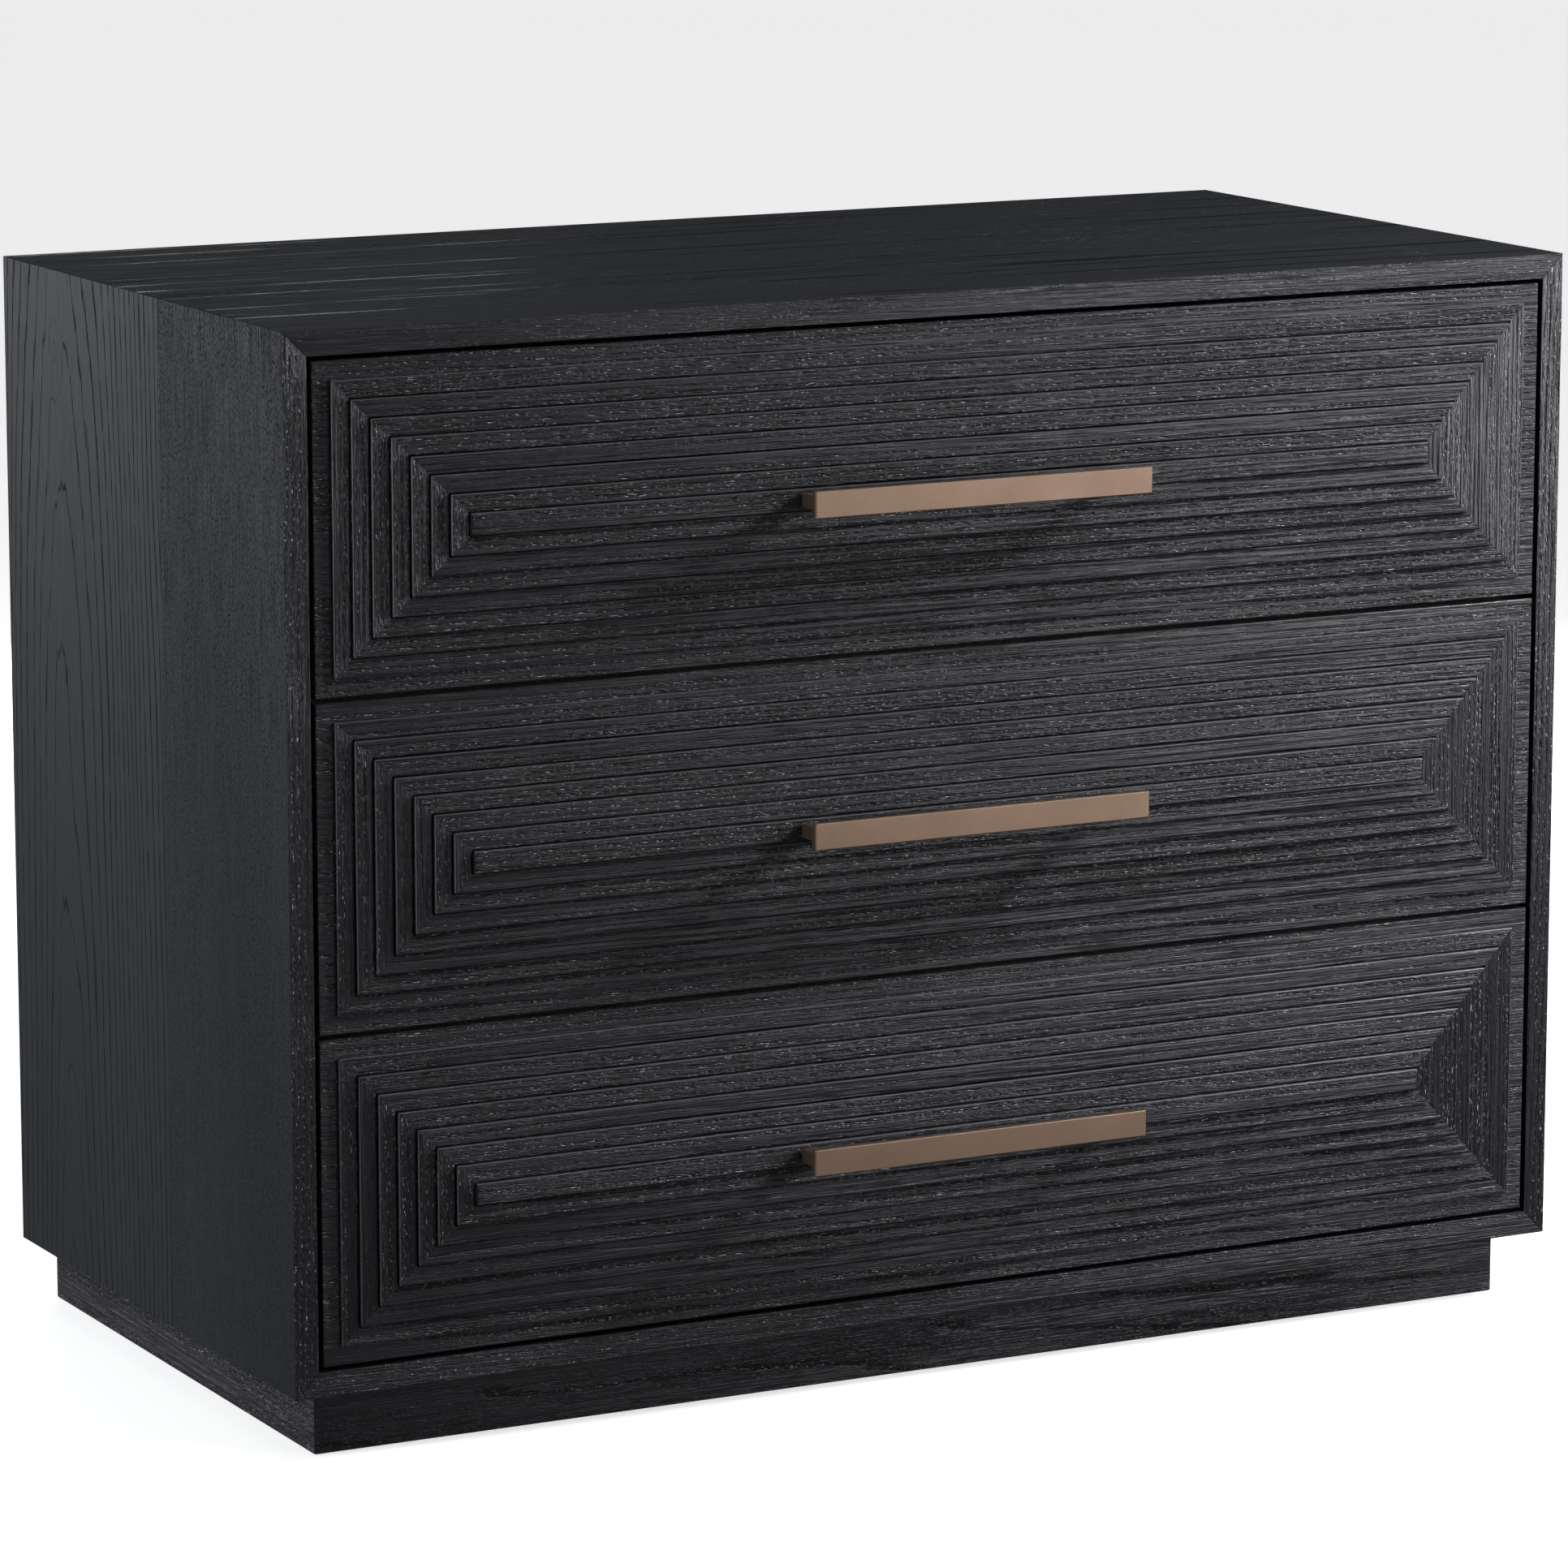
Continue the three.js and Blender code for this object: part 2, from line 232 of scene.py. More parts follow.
def ease(piece, width, wanted, steps=3):
    """Rounds the wanted edges over, as sandpaper does."""
    pick(piece, "EDGE", wanted)
    bpy.ops.mesh.bevel(offset=width, segments=steps, affect="EDGES")
    shut()


def runs(start, end, axis):
    """Whether an edge runs along an axis."""
    return abs((end - start).normalized()[axis]) > 0.99


def along_axis(axis, *limits):
    """Chooses edges that run along an axis, at the places given as (axis, value)."""
    def chosen(start, end):
        return runs(start, end, axis) and all(abs(start[other] - value) < ON_LINE for other, value in limits)
    return chosen


def smooth(piece, degrees=50):
    """Shades the easings round and the flats flat."""
    hold(piece)
    bpy.ops.object.shade_smooth_by_angle(angle=math.radians(degrees))
    level = piece.modifiers.new("flats", "WEIGHTED_NORMAL")
    level.keep_sharp = True
    bpy.ops.object.modifier_apply(modifier=level.name)


luck = random.Random(27)
LOG_LENGTH = 40
LEAST_DEPTH = 0.03


def log_place(near, far):
    """Where in its log a board was sawn: along it, across from the heart, and how deep."""
    lengthwise = luck.uniform(0, LOG_LENGTH)
    sideways = luck.uniform(near, far)
    return Vector((lengthwise, sideways, luck.uniform(LEAST_DEPTH, LEAST_DEPTH * 2)))


def grain(piece, along, across, start):
    """Marks every corner with its place in the log: along the grain, across it, and in depth."""
    mesh = piece.data
    along, across = Vector(along), Vector(across)
    frame_of_log = numpy.array((along, across, along.cross(across))).T
    places = numpy.empty(len(mesh.vertices) * 3)
    mesh.vertices.foreach_get("co", places)
    owners = numpy.empty(len(mesh.loops), dtype=int)
    mesh.loops.foreach_get("vertex_index", owners)
    values = (places.reshape(-1, 3) @ frame_of_log)[owners] + numpy.array(start)
    store = mesh.attributes.get("grain") or mesh.attributes.new("grain", "FLOAT_VECTOR", "CORNER")
    store.data.foreach_set("vector", values.ravel())


def fit(piece, body, slot, *nodes):
    """Fixes a finished piece to its body, in place of its plain counterparts."""
    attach(piece, body)
    if nodes:
        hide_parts(*nodes)


FLATTEST_RING = 0.16
KNOT_LENGTH = 0.022
KNOT_WIDTH = 0.009
# Colour of the painted highlight: pale flecks that stand in for glints of light off the pores' edges.
PAINTED_GLINT_COLOUR = (0.75, 0.77, 0.82)


def timber(name, face, pit, ring, line, dash, relief, matt, sheen=0.5, tilt=0.03, specks=0.5,
           brushed=0.0, openness=0.44, painted_glint=0.0, polish=0.0, bands=0.07, waver=0.55, bloom=0.25,
           knot=None):
    """Wood with growth rings, open pores and fibres. Face is its colour and pit that of its pores.
    Ring is the rings' spacing, line the width of the porous wood in each, dash the length and width
    of a pore, and relief how deep the pores lie, all in metres. Matt is its roughness, and sheen
    how strongly it reflects. Tilt is how far the board slopes through the rings, which draws arches,
    waver how they ripple, and knot the place in the log that they bend round. Specks is the share of
    pores between the rings, openness how many pores are open, bands how unevenly they are spread,
    and brushed how far soft wood is worn; glint is how much painted highlight lies along the pores'
    edges, as pale flecks in the colour that stand in for glints of light. Polish is how much smoother
    the streaks are where the brush rode over hard wood, and bloom how much the colour drifts."""
    material = blank(name)
    tree = material.node_tree
    log = node(tree, "Attribute", {}, attribute_name="grain").outputs["Vector"]

    def noise(scale, detail=2.0):
        spread = node(tree, "VectorMath", {0: log, 1: scale}, operation="MULTIPLY").outputs[0]
        return node(tree, "TexNoise", {"Vector": spread, "Scale": 1.0, "Detail": detail}).outputs["Fac"]

    def reckon(operation, *terms):
        return node(tree, "Math", dict(enumerate(terms)), operation=operation).outputs[0]

    def square(value):
        return reckon("MULTIPLY", value, value)

    def ramp(value, low, high, start=0.0, end=1.0):
        return smooth_step(tree, value, low, high, start, end)

    # How far each point is from the heart of the tree, and how squarely the face cuts the rings.
    where = node(tree, "SeparateXYZ", {0: log})
    along, across, deep = where.outputs[0], where.outputs[1], where.outputs[2]
    depth = reckon("MULTIPLY_ADD", along, tilt, deep)
    heart = reckon("SQRT", reckon("ADD", square(across), square(depth)))
    slant = reckon("MAXIMUM", reckon("DIVIDE", reckon("ABSOLUTE", across), heart), FLATTEST_RING)
    if knot:
        up = reckon("DIVIDE", reckon("SUBTRACT", along, knot[0]), KNOT_LENGTH)
        over = reckon("DIVIDE", reckon("SUBTRACT", across, knot[1]), KNOT_WIDTH)
        away = reckon("ADD", square(up), square(over))
        swirl = reckon("EXPONENT", reckon("MULTIPLY", away, -1.0))
        heart = reckon("MULTIPLY_ADD", swirl, ring * 2.2, heart)

    # The rings sway, ripple and differ in width. Each has a line of porous wood.
    sway = reckon("MULTIPLY_ADD", noise((1.5, 8.0, 8.0)), ring * 5.0, heart)
    ripple = reckon("MULTIPLY_ADD", noise((9.0, 45.0, 45.0)), ring * waver, sway)
    uneven = reckon("MULTIPLY_ADD", noise((0.6, 130.0, 130.0), 1.0), ring * 0.35, ripple)
    phase = reckon("FRACT", reckon("DIVIDE", uneven, ring))
    from_line = reckon("MULTIPLY", reckon("ABSOLUTE", reckon("SUBTRACT", phase, 0.5)), ring)
    porous = ramp(reckon("DIVIDE", from_line, slant), line * 0.30, line * 0.75, 1.0, 0.0)

    # Pores lie along the grain, mostly in the porous lines, each in a wider groove.
    thick = ramp(noise((3.5, 55.0, 55.0)), 0.36, 0.62)
    pore_scale = (1 / dash[0], 1 / dash[1], 1 / dash[1])
    fine = noise(pore_scale, 1.0)
    edge = reckon("MULTIPLY_ADD", thick, -bands, 1.0 - openness)
    open_pore = ramp(fine, edge, reckon("ADD", edge, 0.06))
    groove = ramp(fine, reckon("ADD", edge, -0.09), reckon("ADD", edge, 0.08))
    between = reckon("MULTIPLY_ADD", thick, specks * 0.7, specks * 0.3)
    share = reckon("MULTIPLY_ADD", porous, 1.0 - specks, between)
    if brushed:
        share = reckon("MULTIPLY", share, ramp(noise((2.6, 70.0, 70.0), 1.0), 0.40, 0.54, 0.12, 1.0))
    pores = reckon("MULTIPLY", open_pore, share)
    if brushed:
        split = ramp(noise((16.0, 620.0, 620.0), 1.0), 0.60, 0.66)
        pores = reckon("MAXIMUM", pores, reckon("MULTIPLY", split, reckon("MULTIPLY_ADD", thick, 0.6, 0.4)))

    # The stain drifts, and lies darkest in the pores and in the soft wood that the brush wore.
    fibre = noise((18.0, 900.0, 900.0))
    worn = reckon("MULTIPLY", ramp(fibre, 0.35, 0.7), reckon("MULTIPLY_ADD", porous, 0.7, 0.3))
    mottle = noise((2.0, 22.0, 22.0))
    dull = (*[c * (1 - bloom) for c in face], 1)
    fresh = (*[c * (1 + bloom) for c in face], 1)
    tone = node(tree, "MixRGB", {0: mottle, 1: dull, 2: fresh}).outputs[0]
    stain = reckon("MINIMUM", reckon("MULTIPLY_ADD", worn, 0.60, pores), 1.0)
    colour = node(tree, "MixRGB", {0: stain, 1: tone, 2: (*pit, 1)}).outputs[0]
    # Painted highlight: pale flecks along one edge of the pores stand in for the glints the lamps would
    # catch there.
    if painted_glint:
        beside = node(tree, "VectorMath", {0: log, 1: (0.0, dash[1] * 0.8, 0.0)}, operation="ADD").outputs[0]
        beside = node(tree, "VectorMath", {0: beside, 1: pore_scale}, operation="MULTIPLY").outputs[0]
        lip = node(tree, "TexNoise", {"Vector": beside, "Scale": 1.0, "Detail": 1.0}).outputs["Fac"]
        lip = reckon("SUBTRACT", ramp(lip, 1.0 - openness, 1.04 - openness), open_pore)
        painted_glint_spots = ramp(noise((420.0, 500.0, 500.0), 1.0), 0.52, 0.62)
        painted_glint_mask = reckon("MULTIPLY", reckon("MAXIMUM", lip, 0.0), painted_glint_spots)
        painted_glint_mask = reckon("MULTIPLY", reckon("MULTIPLY", painted_glint_mask, share), painted_glint)
        colour = node(tree, "MixRGB", {0: painted_glint_mask, 1: colour, 2: (*PAINTED_GLINT_COLOUR, 1)}).outputs[0]
    haze = reckon("MULTIPLY_ADD", noise((40.0, 400.0, 400.0)), 0.12, matt - 0.06)
    rough = reckon("MINIMUM", reckon("MULTIPLY_ADD", stain, 0.50, haze), 1.0)
    if polish:
        streak = ramp(noise((2.6, 95.0, 95.0)), 0.59, 0.66)
        rough = reckon("SUBTRACT", rough, reckon("MULTIPLY", streak, polish))
    hollow = reckon("MULTIPLY_ADD", worn, brushed, reckon("MULTIPLY", groove, share))
    height = reckon("SUBTRACT", 1.0, hollow)
    bump = node(tree, "Bump", {"Height": height, "Distance": relief, "Strength": 1.0})
    skin = node(tree, "BsdfPrincipled", {"Base Color": colour, "Roughness": rough, "Normal": bump.outputs[0],
                                         "Specular IOR Level": sheen})
    node(tree, "OutputMaterial", {"Surface": skin.outputs[0]})
    return material


CHARCOAL = (0.0122, 0.0122, 0.0186)
VENEER_CHARCOAL = (0.0135, 0.0165, 0.0215)
RIFT_PIT = (0.0055, 0.0070, 0.0092)
SOOT = (0.0020, 0.0020, 0.0026)
SHORT_PORE = (0.0045, 0.00060)
LONG_PORE = (0.022, 0.0010)
# The brushed oak carries a strong painted highlight: pale flecks along its pores in place of glints.
BRUSHED = dict(ring=0.0034, line=0.0020, dash=SHORT_PORE, relief=0.00180, matt=0.27, specks=0.22,
               brushed=0.35, painted_glint=0.95)
HEART_FROM_BACK = 0.093
HEART_DEPTH = 0.70
SIDE_START = 9.0
KNOT = (SIDE_START + 0.650, 0.004)
side_veneer = timber("side_veneer", VENEER_CHARCOAL, SOOT, ring=0.0078, line=0.0017, dash=LONG_PORE,
                     relief=0.00012, matt=0.48, sheen=0.34, tilt=0.08, specks=0.04, openness=0.54,
                     waver=0.38, knot=KNOT)
rift_veneer = timber("rift_veneer", VENEER_CHARCOAL, RIFT_PIT, ring=0.0060, line=0.07,
                     dash=(0.0022, 0.0009), relief=0.00010, matt=0.48, sheen=0.34, tilt=0.0,
                     openness=0.46, bands=0.015)
# The top carries a weaker painted highlight of pale flecks along its pores.
top_veneer = timber("top_veneer", VENEER_CHARCOAL, SOOT, ring=0.0090, line=0.0050, dash=(0.016, 0.0018),
                    relief=0.00050, matt=0.60, sheen=0.30, tilt=0.02, specks=0.35, brushed=0.40, polish=0.44,
                    painted_glint=0.30)
brushed_edge = timber("brushed_case_edge", CHARCOAL, SOOT, **BRUSHED)

UP = Vector((0, 0, 1))
RIGHT = Vector((1, 0, 0))
BACK = Vector((0, 1, 0))
panels = (
    ("top_panel", UP, RIGHT),
    ("bottom_panel", -UP, RIGHT),
    ("left_side_panel", -RIGHT, UP),
    ("right_side_panel", RIGHT, UP),
)
case_low, case_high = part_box("left_side_panel")
case_far = Vector((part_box("right_side_panel")[1].x, case_high.y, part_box("top_panel")[1].z))
case_near = Vector((case_low.x, case_low.y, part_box("bottom_panel")[0].z))
BACK_LEAF_WIDTH = 0.262
leaf_joint = case_far.y - BACK_LEAF_WIDTH
TOP_HEART = (0.12, 0.03)

for name, outward, run in panels:
    low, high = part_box(name)
    run_axis = list(run).index(1)
    out_axis = [abs(value) for value in outward].index(1)
    low[run_axis], high[run_axis] = case_near[run_axis], case_far[run_axis]
    outer = (high if sum(outward) > 0 else low)[out_axis]
    inner = (low if sum(outward) > 0 else high)[out_axis]
    board = sawn(name + "_board", low, (high.x, high.y - REBATE_DEPTH, high.z))
    shoulder = Vector(low)
    shoulder[out_axis] = inner + sum(outward) * REBATE_WIDTH
    score(board, shoulder, outward)
    pick(board, "FACE", lambda centre, normal: normal.y > 0.9
         and (centre[out_axis] - shoulder[out_axis]) * sum(outward) > 0)
    bpy.ops.mesh.extrude_region_move(TRANSFORM_OT_translate={"value": (0, REBATE_DEPTH, 0)})
    shut()
    ease(board, CASE_EASING, along_axis(run_axis, (1, low.y), (out_axis, outer)))
    ease(board, CASE_EASING / 2, along_axis(run_axis, (1, low.y), (out_axis, inner)))
    ease(board, CASE_EASING, along_axis(run_axis, (1, high.y), (out_axis, outer)))
    for end, turn in ((high, 1), (low, -1)):
        corner = Vector(end)
        corner[out_axis] = outer
        facing = (run * turn - outward).normalized()
        saw(board, corner - facing * MITRE_GAP / 2, facing)
        tip = end[run_axis]
        ease(board, ARRIS_EASING, lambda a, b: runs(a, b, 1)
             and abs(a[out_axis] - outer) < AT_FACE and abs(a[run_axis] - tip) < AT_CORNER, 2)
    smooth(board)
    upright = run_axis == 2
    if upright:
        score(board, (0, leaf_joint, 0), BACK)
    for finish in (side_veneer if upright else top_veneer, brushed_edge, rift_veneer):
        board.data.materials.append(finish)
    for face in board.data.polygons:
        forward = upright and face.center.y < leaf_joint
        face.material_index = 1 if face.normal.y < -0.5 else 2 if forward else 0
    if upright:
        grain(board, UP, BACK, (SIDE_START, HEART_FROM_BACK - case_far.y, outer - HEART_DEPTH))
    else:
        grain(board, RIGHT, BACK, (luck.uniform(0, SIDE_START), *TOP_HEART))
    fit(board, "case", "case_oak", name)

# ---- Back panel --------------------------------------------------------------------------------
# A 6 mm plywood sheet, stained to match, dropped into the rebates and held round its edge by small
# pan-head screws, each sunk into a pocket so that the back stays flat.
back_veneer = timber("stained_back_ply", (0.020, 0.022, 0.027), SOOT, ring=0.0105, line=0.0014,
                     dash=(0.02, 0.0008), relief=0.00005, matt=0.6, sheen=0.3, tilt=0.10, specks=0.10,
                     waver=0.22)
BACK_START = (3.0, 0.05, 0.05)
SHEET_EASING = 0.0005
HAIR = 0.000001
EDGE_IN = 0.012
SCREWS_ACROSS = 7
SCREWS_UP = 4
SCREW_RADIUS = 0.0034
SCREW_RISE = 0.0014
POCKET_RADIUS = 0.0046
POCKET_DEPTH = 0.0017
FACING_BACK = (math.radians(-90), 0, 0)


def cut_away(piece, cutters):
    """Takes the cutters' shapes out of a piece, and puts the cutters away."""
    for cutter in cutters:
        cut = piece.modifiers.new("cut", "BOOLEAN")
        cut.object = cutter
        cut.operation = "DIFFERENCE"
        hold(piece)
        bpy.ops.object.modifier_apply(modifier=cut.name)
        bpy.data.objects.remove(cutter)


def metal(name, colour, rough, speck, speck_size, bump, stretch=(1, 1, 1)):
    """Metal with a fine mottle: speck is how much its tone and gloss vary, at speck_size metres."""
    material = blank(name)
    tree = material.node_tree
    place = node(tree, "TexCoord", {}).outputs["Object"]
    spread = tuple(part / speck_size for part in stretch)
    fine = node(tree, "VectorMath", {0: place, 1: spread}, operation="MULTIPLY").outputs[0]
    blast = node(tree, "TexNoise", {"Vector": fine, "Scale": 1.0, "Detail": 3.0}).outputs["Fac"]
    cloud = node(tree, "TexNoise", {"Vector": place, "Scale": 28.0, "Detail": 3.0}).outputs["Fac"]
    blend = node(tree, "Math", {0: blast, 1: 0.65, 2: 0.0}, operation="MULTIPLY_ADD")
    blend = node(tree, "Math", {0: cloud, 1: 0.35, 2: blend.outputs[0]}, operation="MULTIPLY_ADD")
    sharp = node(tree, "MapRange", {0: blend.outputs[0], 1: 0.3, 2: 0.7})
    dull = (*[c * (1 - speck) for c in colour], 1)
    bright = (*[min(1, c * (1 + speck)) for c in colour], 1)
    tone = node(tree, "MixRGB", {0: sharp.outputs[0], 1: dull, 2: bright})
    gloss = node(tree, "MapRange", {0: blend.outputs[0], 1: 0.3, 2: 0.7,
                                    3: rough + speck / 4, 4: rough - speck / 4})
    dent = node(tree, "Bump", {"Height": blast, "Distance": bump, "Strength": 0.6})
    skin = node(tree, "BsdfPrincipled", {"Base Color": tone.outputs[0], "Roughness": gloss.outputs[0],
                                         "Normal": dent.outputs[0], "Metallic": 1.0})
    node(tree, "OutputMaterial", {"Surface": skin.outputs[0]})
    return material


black_zinc = metal("black_zinc_screws", (0.09, 0.09, 0.095), rough=0.42, speck=0.2,
                   speck_size=0.0006, bump=0.00002)
RECESS_LONG = 0.62
RECESS_WIDE = 0.14


def screw_head(name, radius, rise):
    """A pan head with a cross recess, facing up, to be copied wherever a screw is driven."""
    bpy.ops.object.select_all(action="DESELECT")
    bpy.ops.mesh.primitive_cylinder_add(vertices=20, radius=radius, depth=rise, location=(0, 0, rise / 2))
    head = bpy.context.object
    head.name = name
    bpy.ops.object.transform_apply()
    pick(head, "FACE", lambda centre, normal: normal.z > 0.9)
    bpy.ops.mesh.bevel(offset=min(radius * 0.42, rise * 0.8), segments=3, affect="EDGES")
    shut()
    for across, up in ((RECESS_LONG, RECESS_WIDE), (RECESS_WIDE, RECESS_LONG)):
        slit = sawn("slit", (-radius * across, -radius * up, rise * 0.35),
                    (radius * across, radius * up, rise * 2))
        cut_away(head, [slit])
    smooth(head, degrees=40)
    return head


def driven(head, name, places, turn, metal_of_screw):
    """One piece of several screw heads: copies of the pattern, turned to their face and joined."""
    copies = []
    for place in places:
        hold(head)
        bpy.ops.object.duplicate(linked=False)
        one = bpy.context.object
        one.rotation_euler = turn
        one.location = place
        bpy.ops.object.transform_apply()
        copies.append(one)
    hold(copies[0])
    for one in copies:
        one.select_set(True)
    bpy.ops.object.join()
    row = bpy.context.object
    row.name = name
    row.data.name = name
    row.data.materials.clear()
    row.data.materials.append(metal_of_screw)
    return row


low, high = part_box("back_panel")
back_sheet = sawn("back_panel_sheet", low, high)
ease(back_sheet, SHEET_EASING, lambda a, b: abs(a.y - high.y) < HAIR and abs(b.y - high.y) < HAIR, 2)
places = []
for step in range(SCREWS_ACROSS):
    x = low.x + EDGE_IN + step * (high.x - low.x - 2 * EDGE_IN) / (SCREWS_ACROSS - 1)
    places += [(x, high.y - POCKET_DEPTH, z) for z in (low.z + EDGE_IN, high.z - EDGE_IN)]
for step in range(1, SCREWS_UP):
    z = low.z + step * (high.z - low.z) / SCREWS_UP
    places += [(x, high.y - POCKET_DEPTH, z) for x in (low.x + EDGE_IN, high.x - EDGE_IN)]
bpy.ops.object.select_all(action="DESELECT")
bpy.ops.mesh.primitive_cylinder_add(vertices=24, radius=POCKET_RADIUS, depth=POCKET_DEPTH * 2,
                                    location=(0, 0, POCKET_DEPTH))
pocket = bpy.context.object
bpy.ops.object.transform_apply()
cut_away(back_sheet, [driven(pocket, "screw_pockets", places, FACING_BACK, back_veneer)])
bpy.data.objects.remove(pocket)
smooth(back_sheet)
back_sheet.data.materials.clear()
back_sheet.data.materials.append(back_veneer)
grain(back_sheet, UP, RIGHT, BACK_START)
fit(back_sheet, "case", "back_ply", "back_panel")
back_head = screw_head("back_screw_pattern", SCREW_RADIUS, SCREW_RISE)
back_screws = driven(back_head, "back_panel_screws", places, FACING_BACK, black_zinc)
fit(back_screws, "case", "slide_steel")

# ---- Plinth ------------------------------------------------------------------------------------
# A low base of four brushed boards, set in from the case, mitred at the front corners, with a
# triangular hardwood block glued into each corner.
plinth_oak = timber("plinth_oak", CHARCOAL, SOOT, **BRUSHED, tilt=0.01)
plain_wood = timber("plain_hardwood", (0.42, 0.30, 0.18), (0.27, 0.17, 0.09), ring=0.004, line=0.001,
                    dash=(0.004, 0.0003), relief=0.00004, matt=0.55, specks=0.3)
PLINTH_EASING = 0.0007
BLOCK_EASING = 0.0006
plinth_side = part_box("plinth_left")[0].x
plinth_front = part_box("plinth_front")[0].y
for name in ("plinth_front", "plinth_left", "plinth_right", "plinth_back"):
    low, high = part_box(name)
    across_front = name in ("plinth_front", "plinth_back")
    if name == "plinth_front":
        low.x, high.x = plinth_side, -plinth_side
    elif name != "plinth_back":
        low.y = plinth_front
    board = sawn(name + "_board", low, high)
    axis = 0 if across_front else 1
    other = 1 - axis
    for z in (low.z, high.z):
        for end in (low, high):
            ease(board, PLINTH_EASING, along_axis(axis, (2, z), (other, end[other])), 2)
    for turn in (-1, 1):
        corner = Vector((plinth_side * -turn, plinth_front, 0))
        if name == "plinth_front":
            facing = Vector((turn, 1, 0)).normalized()
            saw(board, corner - facing * MITRE_GAP / 2, facing)
        elif (name == "plinth_left" and turn < 0) or (name == "plinth_right" and turn > 0):
            facing = Vector((-turn, -1, 0)).normalized()
            saw(board, corner - facing * MITRE_GAP / 2, facing)
    smooth(board)
    board.data.materials.append(plinth_oak)
    grain(board, RIGHT if across_front else BACK, UP, log_place(0.05, 0.09))
    fit(board, "case", "plinth_oak", name)

for end in ("front", "back"):
    for side in ("left", "right"):
        name = f"glue_block_{end}_{side}"
        low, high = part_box(name)
        block = sawn(name + "_wood", low, high)
        into = Vector((1 if side == "right" else -1, -1 if end == "front" else 1, 0))
        saw(block, (low + high) / 2, -into.normalized())
        ease(block, BLOCK_EASING, lambda a, b: True, 2)
        smooth(block)
        block.data.materials.append(plain_wood)
        grain(block, UP, RIGHT, log_place(0.03, 0.06))
        fit(block, "case", "frame_wood", name)

# ---- Divider rails -----------------------------------------------------------------------------
# Two plain hardwood rails across the opening, behind the gaps between the drawer fronts. They tie
# the side panels together and stop the fronts' backs.
RAIL_EASING = 0.0012
for rail in ("lower", "upper"):
    name = f"{rail}_divider_rail"
    low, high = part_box(name)
    board = sawn(name + "_wood", low, high)
    ease(board, RAIL_EASING, along_axis(0))
    smooth(board)
    board.data.materials.append(plain_wood)
    grain(board, RIGHT, BACK, log_place(0.03, 0.06))
    fit(board, "case", "frame_wood", name)

# ---- Drawer fronts -----------------------------------------------------------------------------
# Each front is one brushed oak board. Seven mitred frames and a centre bar are glued onto it, each
# one nested in the last and standing 2.5 mm further out, so that the front rises in steps.
DRAWERS = ("lower", "middle", "upper")
FRAMES = 7
STRIP_WIDTH = 0.012
STRIP_RISE = 0.0025
STRIP_GAP = 0.0007
STRIP_CHAMFER = 0.0004
STRIP_EASING = 0.0011
BOARD_EASING = 0.0010
BACK_EASING = 0.0004
BRUSH_STEP = 0.009
LEAST_CUTS = 3
CUTS_ACROSS = 11
TUFT_LONG = 0.060
TUFT_WIDE = 0.0034
TUFT_DEEP = 0.1
COMB_ALONG = 3.1
COMB_UP = 1.7
BRUSH_DEPTH = 0.00030
STRIP_MITRE = 0.00006
STRIP_CORNER = 0.0012
front_oak = timber("brushed_front_oak", CHARCOAL, SOOT, **BRUSHED, tilt=0.012)
# Pale colour of the outward step edges: partly rubbed wood, partly a painted highlight along the steps.
RUBBED_AND_HIGHLIT = (0.068, 0.068, 0.082)
rubbed_and_highlit_oak = timber("rubbed_strip_edge", RUBBED_AND_HIGHLIT, SOOT, ring=0.0034, line=0.0016, dash=SHORT_PORE,
                    relief=0.00020, matt=0.33, sheen=1.0, specks=0.10, openness=0.34, tilt=0.012)


def duplicate(piece, name, shift):
    """A second piece to the same pattern, with its own mesh, moved to its place."""
    hold(piece)
    bpy.ops.object.duplicate(linked=False)
    twin = bpy.context.object
    twin.name = name
    twin.data.name = name
    bpy.ops.transform.translate(value=shift)
    bpy.ops.object.transform_apply()
    return twin


pattern_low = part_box("lower_drawer_front_board")[0]


def drawer_lift(drawer):
    """How far above the lowest drawer a drawer sits."""
    return Vector((0, 0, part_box(f"{drawer}_drawer_front_board")[0].z - pattern_low.z))


def brush(piece, along, seed):
    """Wire-brushes a face: the soft wood is worn back in long narrow hollows along the grain."""
    face_y = min(vertex.co.y for vertex in piece.data.vertices)
    reach = face_y + STRIP_EASING * 1.05
    brushed = [vertex.index for vertex in piece.data.vertices if vertex.co.y < reach]
    group = piece.vertex_groups.new(name="face")
    group.add(brushed, 1.0, "REPLACE")
    size = (TUFT_LONG, TUFT_DEEP, TUFT_WIDE) if along.x else (TUFT_WIDE, TUFT_DEEP, TUFT_LONG)
    bpy.ops.object.empty_add(location=(seed * COMB_ALONG, 0, seed * COMB_UP))
    comb = bpy.context.object
    comb.scale = size
    bpy.context.view_layer.update()
    bristles = bpy.data.textures.new("bristles", "CLOUDS")
    bristles.noise_scale = 1.0
    bristles.noise_depth = 2
    wear = piece.modifiers.new("brushing", "DISPLACE")
    wear.texture = bristles
    wear.texture_coords = "OBJECT"
    wear.texture_coords_object = comb
    wear.direction = "Y"
    wear.mid_level = 1.0
    wear.strength = -BRUSH_DEPTH
    wear.vertex_group = group.name
    hold(piece)
    bpy.ops.object.modifier_apply(modifier=wear.name)
    bpy.data.objects.remove(comb)
    bpy.data.textures.remove(bristles)
    piece.vertex_groups.clear()


